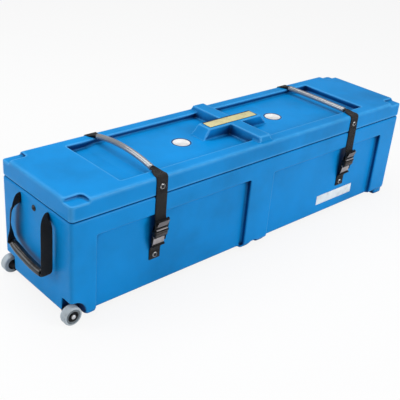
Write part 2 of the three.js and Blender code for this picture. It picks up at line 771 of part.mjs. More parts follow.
// The grip's height at a place k along it, from -1 at its front end to 1 at its rear end
const gripHeight = (k) => GRIP_Z + GRIP_SAG * k * k + GRIP_TILT * k;

// One half of the hanging loop, from the slot to the middle of the grip, on the side given
function handleHalf(side) {
  const [flat, folded] = [[1, 0, 0], { half: 6.8, thick: 2.4 }];
  const pivotX = HALF_LENGTH + 2.5;
  const endZ = gripHeight(side);
  return [
    { y: SLOT_SPREAD, z: HANDLE_PIVOT_Z - 1, x: pivotX, across: [slant, 0, -slant], half: 3 },
    { y: SLOT_SPREAD + 3, z: HANDLE_PIVOT_Z - 11, x: pivotX + 5, across: [slant, 0, -slant], half: 7 },
    { y: SLOT_SPREAD + 8, z: HANDLE_PIVOT_Z - 24, x: pivotX + 12, across: [1, 0, -0.3], half: 12 },
    { y: SLOT_SPREAD + 15, z: HANDLE_PIVOT_Z - 44, x: legX, across: flat, half: HANDLE_WEB_HALF },
    { y: LEG_SPREAD, z: 190, x: legX, across: flat, half: HANDLE_WEB_HALF },
    { y: LEG_SPREAD, z: endZ + 28, x: legX, across: flat, half: HANDLE_WEB_HALF },
    { y: LEG_SPREAD - 3, z: endZ + 12, x: legX, across: flat, half: 15 },
    { y: LEG_SPREAD - 11, z: endZ + 3, x: legX, across: flat, half: 11 },
    { y: GRIP_HALF - 3, z: gripHeight(0.95 * side), x: legX, across: flat, ...folded },
    { y: GRIP_HALF / 2, z: gripHeight(0.5 * side), x: legX, across: flat, ...folded },
  ].map((station) => ({ ...station, y: HANDLE_Y + side * station.y }));
}

function handleLoop(endSide) {
  const stations = [...handleHalf(-1), ...handleHalf(1).reverse()];
  return ribbon(stations.map(({ x, y, z, across: [ax, ay, az], half, thick = WEB_THICK / 2 }) => ({
    at: [endSide * x, y, z],
    across: [endSide * ax, ay, az],
    half,
    thick,
  })));
}

for (const [name, side] of Object.entries(END_SIDES)) {
  place(`handle_webbing_${name}`, handleLoop(side), webbingBlack);
  const gripPath = [-1, -0.5, 0, 0.5, 1].map((k) => (
    [side * legX, HANDLE_Y + k * GRIP_HALF, gripHeight(k)]
  ));
  place(`handle_grip_${name}`, boredTube(gripPath, GRIP_R, GRIP_BORE_R, 12, 6), gripBlack);
  const inside = HALF_LENGTH - WALL - WEB_OFFSET;
  place(`handle_inner_run_${name}`, ribbon(handleSlotY.map((y) => ({
    at: [side * inside, y, HANDLE_SCREW_Z],
    across: [0, 0, 1],
    half: INNER_RUN_HALF,
    thick: WEB_THICK / 2,
  }))).subtract(shankHole([side * inside, HANDLE_Y, HANDLE_SCREW_Z], [side, 0, 0])), webbingBlack);
  fastener(`handle_${name}`, [side * HALF_LENGTH, HANDLE_Y, HANDLE_SCREW_Z], [side, 0, 0]);
}

// Wheels: each turns on a bolt that is threaded into its corner boss

const tyreProfile = (width) => [
  [HUB_R + GAP, 0],
  [WHEEL_R - 3, 0],
  [WHEEL_R - 0.9, 0.9],
  [WHEEL_R, 3.5],
  [WHEEL_R, width - 3.5],
  [WHEEL_R - 0.9, width - 0.9],
  [WHEEL_R - 3, width],
  [HUB_R + GAP, width],
  [HUB_R + GAP, 0],
];

for (const [name, side] of Object.entries(WHEEL_SIDES)) {
  const tyreInner = WHEEL_OUTER_Y - TYRE_WIDTH;
  const hubInner = ARCH_INNER_Y + 1;
  const hubFace = WHEEL_OUTER_Y - HUB_FACE_INSET - hubInner;
  const boltLength = WHEEL_OUTER_Y - HUB_FACE_INSET + GAP - BOLT_INNER_Y;
  const at = (y) => [WHEEL_X, side * y, WHEEL_R];
  const outward = [0, side, 0];
  place(`wheel_tyre_${name}`, turned(tyreProfile(TYRE_WIDTH), at(tyreInner), outward, 28), tyreGrey);
  place(`wheel_hub_${name}`, turned([
    [HUB_BORE_R, 0],
    [HUB_BOSS_R, 0],
    [HUB_BOSS_R, tyreInner - hubInner],
    [HUB_R, tyreInner - hubInner],
    [HUB_R, hubFace],
    [HUB_BORE_R, hubFace],
    [HUB_BORE_R, 0],
  ], at(hubInner), outward, 20), hubBlack);
  place(`axle_bolt_${name}`, turned([
    [0, 0],
    [AXLE_R, 0],
    [AXLE_R, boltLength],
    [BOLT_HEAD_R, boltLength],
    [BOLT_HEAD_R, boltLength + BOLT_HEAD_THICK * 0.55],
    [BOLT_HEAD_R * 0.65, boltLength + BOLT_HEAD_THICK * 0.87],
    [0, boltLength + BOLT_HEAD_THICK],
  ], at(BOLT_INNER_Y), outward), steel);
}

export default group;
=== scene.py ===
"""The looks of a moulded case for drum stands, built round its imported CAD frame, in metres."""
import math

import bmesh
import bpy
import numpy as np
from mathutils import Matrix, Vector


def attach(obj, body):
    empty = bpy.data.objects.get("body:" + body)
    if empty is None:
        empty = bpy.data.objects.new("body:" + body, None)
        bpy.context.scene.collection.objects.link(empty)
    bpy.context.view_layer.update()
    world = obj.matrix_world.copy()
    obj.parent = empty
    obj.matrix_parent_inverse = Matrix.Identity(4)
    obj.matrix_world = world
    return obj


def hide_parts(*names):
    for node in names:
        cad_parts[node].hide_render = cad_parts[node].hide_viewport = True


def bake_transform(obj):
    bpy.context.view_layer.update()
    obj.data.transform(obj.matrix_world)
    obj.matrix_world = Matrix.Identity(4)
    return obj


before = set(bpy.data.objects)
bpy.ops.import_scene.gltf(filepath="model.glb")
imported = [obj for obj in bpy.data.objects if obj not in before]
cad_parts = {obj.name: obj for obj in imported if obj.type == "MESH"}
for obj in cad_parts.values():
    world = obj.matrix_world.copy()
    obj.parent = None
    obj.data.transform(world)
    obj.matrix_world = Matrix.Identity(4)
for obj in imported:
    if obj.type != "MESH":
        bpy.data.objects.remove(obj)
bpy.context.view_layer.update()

scene = bpy.context.scene
MM = 0.001

# Sizes that the pieces share with the solids, in millimetres
HALF_LENGTH, HALF_WIDTH = 635.0, 153.5
LID_TOP, LID_EDGE_R = 333.0, 7.0
PANEL_Y = 138.0
STRAPS = {"left": -374.0, "right": 386.0}
WEB_HALF, WEB_THICK, WEB_GAP = 17.6, 2.2, 0.3
WEB_Y = HALF_WIDTH + WEB_GAP + WEB_THICK / 2
WEB_OUTER_Y = HALF_WIDTH + WEB_GAP + WEB_THICK
PANEL_WEB_Y = -PANEL_Y - WEB_GAP - WEB_THICK / 2
TUBE_Y, TUBE_R, TUBE_BORE = (-112.5, 115.0), 7.8, 6.2
TUBE_END_Z = {"left": 338.5, "right": 337.0}
TUBE_RISE = {"left": 12.5, "right": 1.5}
LID_SCREW_Z, REAR_SCREW_Z, LOWER_SCREW_Z = 307.0, 252.0, 104.0
STRAP_SPLIT_Z, HINGE_LOW_Z, HINGE_BEND_Z = 299.0, 237.0, (265.0, 297.0)
BUCKLE_TOP, BUCKLE_TILT = (-162.0, 215.0), math.radians(7)
PLUG_BAR_DOWN, SOCKET_BAR_DOWN, WRAP_R = 0.8, 77.4, 4.65
HANDLE_Y, HANDLE_X, SLOT_SPREAD, HANDLE_SCREW_Z = 4.0, 655.0, 64.0, 254.0
HANDLE_BEND = (633.0, 266.0), (643.0, 246.0)
INNER_RUN_DEPTH, INNER_RUN_HALF = 6.4, 50.0
ENDS = {"wheel_end": -1, "far_end": 1}
BAR_X, BAR_TOP = 2.0, 348.0
DISC_SPREAD, DISC_FLOOR_Z, DISC_LIFT = 182.0, LID_TOP - 16, 0.3
LABEL_X, LABEL_Z = (284.0, 458.0), (46.0, 77.0)
WHEEL_X, WHEEL_R = -628.0, 25.0
TYRE_START, HUB_START, BOLT_START = 130.0, 112.0, 80.0


# Node helpers

BLACK, WHITE = (0, 0, 0), (1, 1, 1)


def new_material(name, colour, roughness, **sockets):
    """A material, its node tree and its shader. A keyword sets the shader's socket of that name."""
    made = bpy.data.materials.new(name)
    made.use_nodes = True
    made.diffuse_color = (*colour, 1)
    shader = made.node_tree.nodes["Principled BSDF"]
    shader.inputs["Base Color"].default_value = (*colour, 1)
    shader.inputs["Roughness"].default_value = roughness
    for socket, value in sockets.items():
        shader.inputs[socket.replace("_", " ").title().replace("Ior", "IOR")].default_value = value
    return made, made.node_tree, shader


def add(tree, kind, settings=None, **inputs):
    """A node of that kind. Inputs are values or other nodes' sockets, by name, or as i and a number."""
    made = tree.nodes.new(kind)
    for key, value in (settings or {}).items():
        setattr(made, key, value)
    for key, value in inputs.items():
        numbered = key[0] == "i" and key[1:].isdigit()
        socket = made.inputs[int(key[1:]) if numbered else key]
        if isinstance(value, bpy.types.NodeSocket):
            tree.links.new(value, socket)
        else:
            socket.default_value = value
    return made


def maths(tree, operation, *values):
    """The result of one operation on values or sockets."""
    inputs = {f"i{k}": value for k, value in enumerate(values)}
    return add(tree, "ShaderNodeMath", {"operation": operation}, **inputs).outputs[0]


def mixed(tree, share, first, second, blend="MIX"):
    """Two colours, mixed or blended by the share."""
    settings = {"data_type": "RGBA", "blend_type": blend}
    return add(tree, "ShaderNodeMix", settings, i0=share, i6=first, i7=second).outputs[2]


def ramp(tree, fac, stops):
    """A colour ramp through (position, colour) stops."""
    made = add(tree, "ShaderNodeValToRGB", Fac=fac)
    elements = made.color_ramp.elements
    while len(elements) < len(stops):
        elements.new(0.5)
    for element, (position, colour) in zip(elements, stops):
        element.position = position
        element.color = (*colour, 1)
    return made.outputs["Color"]


def span(tree, value, low, high):
    """Maps a 0 to 1 value to low to high."""
    return add(tree, "ShaderNodeMapRange", Value=value, **{"To Min": low, "To Max": high}).outputs[0]


def noise(tree, scale, detail=2.0, roughness=0.5):
    """Noise from 0 to 1 in the piece's own space."""
    vector = add(tree, "ShaderNodeTexCoord").outputs["Object"]
    made = add(tree, "ShaderNodeTexNoise", Vector=vector, Scale=scale, Detail=detail, Roughness=roughness)
    return made.outputs["Fac"]


def bump(tree, shader, height, distance, strength, under=None):
    """Raises the surface by the height, on top of an earlier bump if one is given."""
    inputs = {"Height": height, "Distance": distance, "Strength": strength}
    if under is not None:
        inputs["Normal"] = under
    made = add(tree, "ShaderNodeBump", **inputs)
    tree.links.new(made.outputs["Normal"], shader.inputs["Normal"])
    return made.outputs["Normal"]


def tint(colour, factor):
    """The colour made darker or paler by a factor."""
    return tuple(min(1.0, c * factor) for c in colour)


# The share of white in the pale highlight painted on sharp edges, for red, green and blue
PAINTED_HIGHLIGHT_WHITE = (0.12, 0.3, 0.6)
# The shade beside walls, as (reach in metres, whether only its own walls count, dark at, clear at)
WALL_SHADES = (0.06, True, 0.58, 0.8), (0.05, False, 0.3, 0.62)


def moulded_plastic(name, colour, roughness, clouds, peel, edge=0.0, crease=0.0, shade=0.0, **sockets):
    """Plastic from a mould: cloudy colour and a skin like orange peel.

    edge is how strongly a pale highlight is painted on its sharp edges, crease how much shade is painted
    into its creases, and shade how dark the shade painted beside a wall is.
    """
    made, tree, shader = new_material(name, colour, roughness, **sockets)
    cloud = noise(tree, clouds, 4.0, 0.6)
    base = ramp(tree, cloud, [(0.3, tint(colour, 0.8)), (0.5, colour), (0.72, tint(colour, 1.14))])
    tone_shift = tuple(c + (1 - c) * white for c, white in zip(colour, PAINTED_HIGHLIGHT_WHITE))
    for most, stops, other in (
        # A pale highlight painted on sharp outer edges
        (edge, [(0.502, BLACK), (0.515, WHITE)], tone_shift),
        # Shade painted into concave creases
        (crease, [(0.455, WHITE), (0.497, BLACK)], tint(colour, 0.25)),
    ):
        if most:
            point = add(tree, "ShaderNodeNewGeometry").outputs["Pointiness"]
            share = maths(tree, "MULTIPLY", ramp(tree, point, stops), most)
            base = mixed(tree, share, base, (*other, 1))
    # Painted shade: ambient occlusion darkens the colour towards navy beside the piece's own walls, and
    # near the floor and other pieces
    if shade:
        deep = (1 - shade, (1 - shade) * 0.85, (1 - shade) * 1.35)
        for reach, alone, low, high in WALL_SHADES:
            settings = {"samples": 24, "only_local": alone}
            hidden = add(tree, "ShaderNodeAmbientOcclusion", settings, Distance=reach).outputs["AO"]
            base = mixed(tree, 1.0, base, ramp(tree, hidden, [(low, deep), (high, WHITE)]), "MULTIPLY")
    tree.links.new(base, shader.inputs["Base Color"])
    fine = noise(tree, peel, 3.0)
    patches = noise(tree, clouds * 2.3, 3.0)
    tree.links.new(span(tree, patches, roughness - 0.08, roughness + 0.08), shader.inputs["Roughness"])
    waves = bump(tree, shader, patches, 0.002, 0.35)
    bump(tree, shader, fine, 0.0003, 0.5, waves)
    return made


WEAVE_PITCH = 0.0016


def woven(name, colour, **sockets):
    """Webbing: cross ribs along its length, warp cords across its width and a fuzz of stray fibres."""
    made, tree, shader = new_material(name, colour, 0.82, **sockets)
    uv = add(tree, "ShaderNodeUVMap", {"uv_map": "weave"}).outputs["UV"]
    split = add(tree, "ShaderNodeSeparateXYZ", Vector=uv)
    turn = 2 * math.pi
    heights = []
    for axis, step, shift in (("X", WEAVE_PITCH * 1.25, 0.0), ("Y", WEAVE_PITCH, 0.5)):
        scaled = maths(tree, "MULTIPLY_ADD", split.outputs[axis], turn / step, shift * turn)
        heights.append(maths(tree, "ABSOLUTE", maths(tree, "SINE", scaled)))
    cloth = maths(tree, "MULTIPLY", *heights)
    fuzz = noise(tree, 900.0, 3.0)
    patch = noise(tree, 30.0, 3.0)
    threads = ramp(tree, cloth, [(0.0, tint(colour, 0.45)), (0.5, colour), (1.0, tint(colour, 1.7))])
    # Worn patches, lighter and darker at random
    tone_shift = ramp(tree, patch, [(0.35, (0.8, 0.8, 0.8)), (0.7, (1.3, 1.25, 1.2))])
    tree.links.new(mixed(tree, 0.8, threads, tone_shift, "MULTIPLY"), shader.inputs["Base Color"])
    tree.links.new(span(tree, fuzz, 0.7, 0.95), shader.inputs["Roughness"])
    weave = bump(tree, shader, cloth, 0.0006, 0.8)
    bump(tree, shader, fuzz, 0.0002, 0.5, weave)
    return made


def plated(name, colour, roughness):
    """Plated steel with a fine brushed grain."""
    made, tree, shader = new_material(name, colour, roughness, metallic=1.0)
    grain = noise(tree, 350.0, 4.0)
    base = ramp(tree, grain, [(0.3, tint(colour, 0.8)), (0.7, colour)])
    tree.links.new(base, shader.inputs["Base Color"])
    tree.links.new(span(tree, grain, roughness - 0.06, roughness + 0.12), shader.inputs["Roughness"])
    bump(tree, shader, grain, 0.0001, 0.4)
    return made


def clear_tube(name, colour):
    """A thick clear tube, clouded by use."""
    made, tree, shader = new_material(name, colour, 0.2, ior=1.5, transmission_weight=0.2,
                                      coat_weight=1.0, coat_roughness=0.15, coat_ior=2.1)
    cloud = noise(tree, 22.0, 3.0)
    base = ramp(tree, cloud, [(0.3, tint(colour, 0.86)), (0.7, colour)])
    tree.links.new(base, shader.inputs["Base Color"])
    tree.links.new(span(tree, cloud, 0.16, 0.28), shader.inputs["Roughness"])
    bump(tree, shader, cloud, 0.0004, 0.3)
    return made


# The lid's edges get a stronger painted highlight than the body's
BODY_BLUE, LID_BLUE = (
    moulded_plastic(f"moulded_blue_{part}", (0.001, 0.243, 0.63), 0.34, 4.0, 420.0,
                    edge=edge, crease=0.5, shade=0.8, specular_ior_level=0.13)
    for part, edge in (("body", 0.05), ("lid", 0.36))
)
BUCKLE = moulded_plastic("buckle_black", (0.006, 0.006, 0.007), 0.45, 60.0, 900.0, specular_ior_level=0.2)
# The buckle's black as it looks where its faces catch the lamps: painted light
PAINTED_LIT_BUCKLE = moulded_plastic("buckle_painted_lit", (0.36, 0.335, 0.34), 0.38, 60.0, 900.0)
# The buckle's black made a little paler: a painted glint on the socket's ribs
PAINTED_GLINT_BUCKLE = moulded_plastic("buckle_painted_glint", (0.05, 0.042, 0.04), 0.4, 60.0, 900.0)
HUB = moulded_plastic("hub_black", (0.007, 0.007, 0.008), 0.45, 60.0, 900.0, specular_ior_level=0.2)
GRIP = moulded_plastic("grip_black", (0.014, 0.015, 0.017), 0.2, 40.0, 120.0)
TYRE = moulded_plastic("tyre_grey", (0.47, 0.53, 0.57), 0.6, 45.0, 700.0)
TYRE_RING = moulded_plastic("tyre_ring", (0.16, 0.19, 0.21), 0.65, 45.0, 700.0)
PLATE = moulded_plastic("plate_yellow", (0.60, 0.54, 0.28), 0.45, 30.0, 600.0)
# Dark navy for the painted shadow at the name plate's rear and right edges
PLATE_SHADOW = moulded_plastic("plate_painted_shadow", (0.004, 0.015, 0.045), 0.5, 30.0, 600.0)
DISC = moulded_plastic("disc_white", (0.74, 0.74, 0.73), 0.5, 30.0, 600.0)
# Dark blue for the painted shadow round each disc
DISC_SHADOW_RING = moulded_plastic("disc_painted_shadow", (0.002, 0.05, 0.18), 0.5, 30.0, 600.0)
LABEL = moulded_plastic("label_white", (0.80, 0.86, 0.89), 0.5, 30.0, 600.0)
WEBBING = woven("webbing_black", (0.012, 0.0115, 0.012), sheen_weight=0.08, sheen_roughness=0.5,
                specular_ior_level=0.25)
STEEL = plated("plated_steel", (0.42, 0.42, 0.42), 0.26)
BOLT_STEEL = plated("bolt_steel", (0.85, 0.85, 0.85), 0.35)
DARK_STEEL = plated("blackened_steel", (0.06, 0.06, 0.065), 0.3)
CLEAR = clear_tube("carry_tube_clear", (0.27, 0.285, 0.31))


# Mesh helpers

def place(name, mesh, material, body, replaces=(), slot=None, matrix=None, blend=None):
    """Makes an object of the mesh. It rides on the body, or, where blend is given, stays fixed where it is
    built; blend's (a, b, start, end) in millimetres are not used.
    """
    piece = bpy.data.objects.new(name, mesh)
    scene.collection.objects.link(piece)
    if not mesh.materials:
        mesh.materials.append(material)
    mesh.shade_smooth()
    if matrix is not None:
        piece.matrix_world = matrix
    if blend:
        a, b, start, end = blend
        [c * MM for c in start]
        [c * MM for c in end]
        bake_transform(piece)
    else:
        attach(piece, body)
    if replaces:
        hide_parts(*replaces)


def mesh_of(name, points, faces, uvs=None):
    """A mesh from points in millimetres, with a UV map in metres where one is given for each point."""
    mesh = bpy.data.meshes.new(name)
    mesh.from_pydata([tuple(c * MM for c in p) for p in points], [], faces)
    if uvs is not None:
        layer = mesh.uv_layers.new(name="weave")
        flat = np.array([uvs[v] for face in mesh.polygons for v in face.vertices], np.float32)
        layer.data.foreach_set("uv", flat.ravel())
    mesh.validate()
    bm = bmesh.new()
    bm.from_mesh(mesh)
    bmesh.ops.recalc_face_normals(bm, faces=bm.faces)
    bm.to_mesh(mesh)
    bm.free()
    return mesh


def skin(rings, caps=True):
    """Faces that join equal rings of point numbers, with one face over each end where caps is set."""
    faces = []
    for low, high in zip(rings, rings[1:]):
        for k in range(len(low)):
            n = (k + 1) % len(low)
            faces.append((low[k], low[n], high[n], high[k]))
    if caps:
        faces += [tuple(reversed(rings[0])), tuple(rings[-1])]
    return faces


def rounded(points, times):
    """The line with its corners cut off that many times, and its ends kept."""
    points = np.array(points, float)
    for _ in range(times):
        a, b = points[:-1], points[1:]
        cut = np.stack([0.75 * a + 0.25 * b, 0.25 * a + 0.75 * b], 1).reshape(-1, points.shape[1])
        points = np.vstack([points[:1], cut[1:-1], points[-1:]])
    return points


ACROSS = [-1, -0.97, -0.8, -0.5, 0, 0.5, 0.8, 0.97, 1]


def webbing_mesh(name, stations, times):
    """Flat webbing through stations (x, y, z, ax, ay, az, half width, half thickness, cup), in millimetres.

    (ax, ay, az) points across the webbing, and cup is how far its edges stand off its middle. times is how
    often the line's corners are rounded.
    """
    line = rounded(stations, times)
    points, uvs, run = [], [], 0.0
    for i, row in enumerate(line):
        at, wide, half, thick, cup = Vector(row[:3]), Vector(row[3:6]), row[6], row[7], row[8]
        along = (Vector(line[min(i + 1, len(line) - 1)][:3]) - Vector(line[max(i - 1, 0)][:3])).normalized()
        wide = (wide - along * wide.dot(along)).normalized()
        up = along.cross(wide)
        if i:
            run += (at - Vector(line[i - 1][:3])).length
        for sign, order in ((-1, ACROSS), (1, ACROSS[::-1])):
            for u in order:
                edge = 0.45 if abs(u) == 1 else 1.0
                points.append(at + wide * (half * u) + up * (cup * u * u + sign * thick * edge))
                uvs.append((u * WEB_HALF * MM, run * MM))
    count = 2 * len(ACROSS)
    rings = [[i * count + k for k in range(count)] for i in range(len(line))]
    return mesh_of(name, points, skin(rings), uvs)


def strap_rows(x, points):
    """Stations of webbing in a plane of constant x, through (y, z) or (y, z, half, thick, cup)."""
    flat = (WEB_HALF, WEB_THICK / 2, 0.0)
    return [(x, *point[:2], 1, 0, 0, *(point[2:] or flat)) for point in points]


def turned_mesh(name, profile, segments, materials=()):
    """A body of revolution about Z through (radius, height) points, closed where it meets the axis.

    materials gives (material, first band) pairs where the piece has more than one.
    """
    points, faces, rings = [], [], []
    for radius, height in profile:
        if radius < 1e-6:
            rings.append([len(points)])
            points.append((0, 0, height))
        else:
            rings.append(list(range(len(points), len(points) + segments)))
            for k in range(segments):
                a = 2 * math.pi * k / segments
                points.append((radius * math.cos(a), radius * math.sin(a), height))
    bands = []
    for band, (low, high) in enumerate(zip(rings, rings[1:])):
        for k in range(segments):
            n = (k + 1) % segments
            face = [low[k % len(low)], low[n % len(low)], high[n % len(high)], high[k % len(high)]]
            face = list(dict.fromkeys(face))
            if len(face) > 2:
                faces.append(tuple(face))
                bands.append(band)
    mesh = mesh_of(name, points, faces)
    for material, first in materials:
        mesh.materials.append(material)
        index = len(mesh.materials) - 1
        for face, band in zip(mesh.polygons, bands):
            if band >= first:
                face.material_index = index
    return mesh


def pointing(at, direction):
    """A matrix that puts a piece at a point in millimetres with its Z along the direction."""
    turn = Vector(direction).to_track_quat("Z", "Y").to_matrix().to_4x4()
    return Matrix.Translation(Vector(at) * MM) @ turn


def swept_tube(name, path, outer, bore, sides=28):
    """A bored tube along a line of points in millimetres, with its ends rounded over.

    outer is one radius, or one for each point.
    """
    path = [Vector(p) for p in path]
    rings = []
    last = len(path) - 1
    outer = np.broadcast_to(outer, len(path))
    lip = (outer[0] - bore) * 0.3
    stations = [(0, bore, 0), (0, outer[0] - lip, 0), (0, outer[0], lip)]
    stations += [(i, outer[i], 0) for i in range(1, last)]
    stations += [(last, outer[last], -lip), (last, outer[last] - lip, 0), (last, bore, 0)]
    stations += [(i, bore, 0) for i in range(last - 1, 0, -1)]
    points = []
    for i, radius, shift in stations:
        along = (path[min(i + 1, last)] - path[max(i - 1, 0)]).normalized()
        wide = along.cross(Vector((0, 0, 1))).normalized()
        up = wide.cross(along)
        middle = path[i] + along * shift
        ring = []
        for k in range(sides):
            a = 2 * math.pi * k / sides
            ring.append(len(points))
            points.append(middle + wide * (radius * math.cos(a)) + up * (radius * math.sin(a)))
        rings.append(ring)
    faces = skin(rings + [rings[0]], caps=False)
    return mesh_of(name, points, faces)


BOX_FACES = ((0, 1, 3, 2), (4, 6, 7, 5), (0, 4, 5, 1), (2, 3, 7, 6), (0, 2, 6, 4), (1, 5, 7, 3))


def bevelled_boxes(name, boxes, to_place, bevel, segments=2):
    """One mesh of boxes [(x0, x1), (y0, y1), (z0, z1)] with rounded edges, each corner through to_place.

    A box may carry a fourth item, a function that reshapes its corners first.
    """
    bm = bmesh.new()
    for box in boxes:
        (x0, x1), (y0, y1), (z0, z1) = box[:3]
        corners = [(x, y, z) for x in (x0, x1) for y in (y0, y1) for z in (z0, z1)]
        if len(box) > 3:
            corners = [box[3](*corner) for corner in corners]
        part = bmesh.new()
        made = [part.verts.new(Vector(to_place(*corner)) * MM) for corner in corners]
        for face in BOX_FACES:
            part.faces.new([made[i] for i in face])
        bmesh.ops.recalc_face_normals(part, faces=part.faces)
        least = min(x1 - x0, y1 - y0, z1 - z0)
        bmesh.ops.bevel(part, geom=part.edges[:], offset=min(bevel, least * 0.3) * MM,
                        segments=segments, profile=0.5, affect="EDGES")
        held = bpy.data.meshes.new("held")
        part.to_mesh(held)
        part.free()
        bm.from_mesh(held)
        bpy.data.meshes.remove(held)
    mesh = bpy.data.meshes.new(name)
    bm.to_mesh(mesh)
    bm.free()
    return mesh


def same(x, y, z):
    """A place that is already in the case's own axes."""
    return x, y, z


def place_boxes(name, boxes, to_place, bevel, material, body, replaces=(), slot=None):
    """One piece of boxes with rounded edges."""
    place(name, bevelled_boxes(name, boxes, to_place, bevel), material, body, replaces, slot)


def place_webbing(name, stations, times, body, replaces, blend=None):
    """One piece of webbing."""
    place(name, webbing_mesh(name, stations, times), WEBBING, body, replaces, "webbing", blend=blend)


# Mouldings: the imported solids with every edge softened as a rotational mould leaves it

VOXEL, ROUNDS, KEEP = ((2.2, 4, 0.25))


def soft_moulding(name, node, material, body):
    """A copy of the solid in voxels, smoothed, and thinned to the share of its faces that is kept."""
    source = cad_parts[node]
    draft = bpy.data.objects.new(name + "_draft", source.data.copy())
    scene.collection.objects.link(draft)
    remesh = draft.modifiers.new("remesh", "REMESH")
    remesh.mode = "VOXEL"
    remesh.voxel_size = VOXEL * MM
    soften = draft.modifiers.new("soften", "SMOOTH")
    soften.factor = 0.5
    soften.iterations = ROUNDS
    thin = draft.modifiers.new("thin", "DECIMATE")
    thin.ratio = KEEP
    bpy.context.view_layer.update()
    mesh = bpy.data.meshes.new_from_object(draft.evaluated_get(bpy.context.evaluated_depsgraph_get()))
    mesh.name = name
    bpy.data.objects.remove(draft)
    mesh.materials.clear()
    place(name, mesh, material, body, (node,), "shell")


soft_moulding("body_moulding", "body_shell", BODY_BLUE, "case")
soft_moulding("lid_moulding", "lid_shell", LID_BLUE, "lid")


# Bare plate, discs and label

PLATE_LEAN = 0.04
# A dark sheet under the plate, showing past it at the rear and right: painted shadow of the raised plate
PLATE_SHADOW_BOX = (BAR_X - 91, BAR_X + 94), (-15, 20.5), (BAR_TOP + 0.2, BAR_TOP + 1.4)
PLATE_INSET_BOX = (BAR_X - 92, BAR_X + 91), (-16, 15), (BAR_TOP + 0.9, BAR_TOP + 1.8)
LABEL_OUT = (-PANEL_Y - 0.9, -PANEL_Y - 0.1)
DISC_PROFILE = [
    (0, 1.2), (22.0, 1.2), (22.4, 1.5), (23.7, 1.4), (24.0, 1.1), (24.1, 0.9), (24.4, 1.9), (27.4, 2.2),
    (27.4, 0), (0, 0),
]
# The profile's bands from this one on are a raised dark ring round the disc: painted shadow of its recess's
# wall
DISC_SHADOW_RING_BAND = 5


def plate_corner(x, y, z):
    """Leans the plate's ends."""
    return x + PLATE_LEAN * y, y, z


place_boxes("plate_shadow_sheet", [(*PLATE_SHADOW_BOX, plate_corner)], same, 0.5, PLATE_SHADOW, "lid",
            ("name_plate",), "plate")
place_boxes("plate_inset", [(*PLATE_INSET_BOX, plate_corner)], same, 0.3, PLATE, "lid")

disc = turned_mesh("disc", DISC_PROFILE, 64, ((DISC, 0), (DISC_SHADOW_RING, DISC_SHADOW_RING_BAND)))
for name, side in (("left", -1), ("right", 1)):
    place(f"disc_{name}", disc, DISC, "lid", (f"lid_disc_{name}",), "disc",
          pointing((BAR_X + side * DISC_SPREAD, 0, DISC_FLOOR_Z + DISC_LIFT), (0, 0, 1)))

place_boxes("label_face", [(LABEL_X, LABEL_OUT, LABEL_Z)], same, 0.3, LABEL, "case",
            ("panel_label",), "disc")


# Screws and cupped washers

SCREW_PROFILE = [
    (0, -12), (2.2, -12), (2.2, 0), (4.5, 0), (4.7, 0.5), (4.5, 1.3), (3.6, 2.1), (2.2, 2.5), (0, 2.6),
]
WASHER_PROFILE = [
    (3.0, 0), (7.5, 0), (7.9, 0.3), (7.9, 0.8), (7.4, 1.3), (6.2, 2.4), (5.6, 2.6), (5.2, 2.3), (5.0, 1.6),
    (3.0, 1.5), (3.0, 0),
]
CROSS_LONG, CROSS_WIDE, CROSS_DEEP = (-2.8, 2.8), (-0.55, 0.55), (1.2, 4)
CUP_LIFT, PAN_LIFT = 0.2, 1.9


def screw_mesh():
    """A pan head with a cross recess, on its shank. Zero is the head's underside."""
    mesh = turned_mesh("screw", SCREW_PROFILE, 32)
    cross = bevelled_boxes("cross", [
        (CROSS_LONG, CROSS_WIDE, CROSS_DEEP),
        (CROSS_WIDE, CROSS_LONG, CROSS_DEEP),
    ], same, 0.1, 1)
    head = bpy.data.objects.new("head_draft", mesh)
    tool = bpy.data.objects.new("cross_draft", cross)
    for item in (head, tool):
        scene.collection.objects.link(item)
    cut = head.modifiers.new("cut", "BOOLEAN")
    cut.object = tool
    cut.solver = "EXACT"
    cut.use_self = True
    bpy.context.view_layer.update()
    made = bpy.data.meshes.new_from_object(head.evaluated_get(bpy.context.evaluated_depsgraph_get()))
    made.materials.clear()
    for item in (head, tool):
        bpy.data.objects.remove(item)
    return made


SCREW = screw_mesh()
WASHER = turned_mesh("washer", WASHER_PROFILE, 48)


def fastener(name, node, at, direction, body, metal=STEEL):
    """A washer and a screw on a face at the point, where the CAD has node_washer and node_screw."""
    out = Vector(direction)
    place(f"{name}_cup", WASHER.copy(), metal, body, (f"{node}_washer",), "steel",
          pointing(Vector(at) + out * CUP_LIFT, direction))
    place(f"{name}_pan", SCREW.copy(), DARK_STEEL, body, (f"{node}_screw",), "steel",
          pointing(Vector(at) + out * PAN_LIFT, direction))


# Straps over the lid, with their tubes

def edge_turn(side):
    """Places (y, z) of the webbing round the lid's front or rear edge."""
    reach = LID_EDGE_R + WEB_GAP + WEB_THICK / 2
    turn = []
    for k in range(6):
        a = k / 5 * math.pi / 2
        turn.append((side * (HALF_WIDTH - LID_EDGE_R + reach * math.cos(a)),
                     LID_TOP - LID_EDGE_R + reach * math.sin(a)))
    return turn


def tube_point(name, y):
    """The place (y, z) of the tube's middle, along its arch."""
    middle, half = sum(TUBE_Y) / 2, (TUBE_Y[1] - TUBE_Y[0]) / 2
    return y, TUBE_END_Z[name] + TUBE_RISE[name] * (1 - ((y - middle) / half) ** 2)


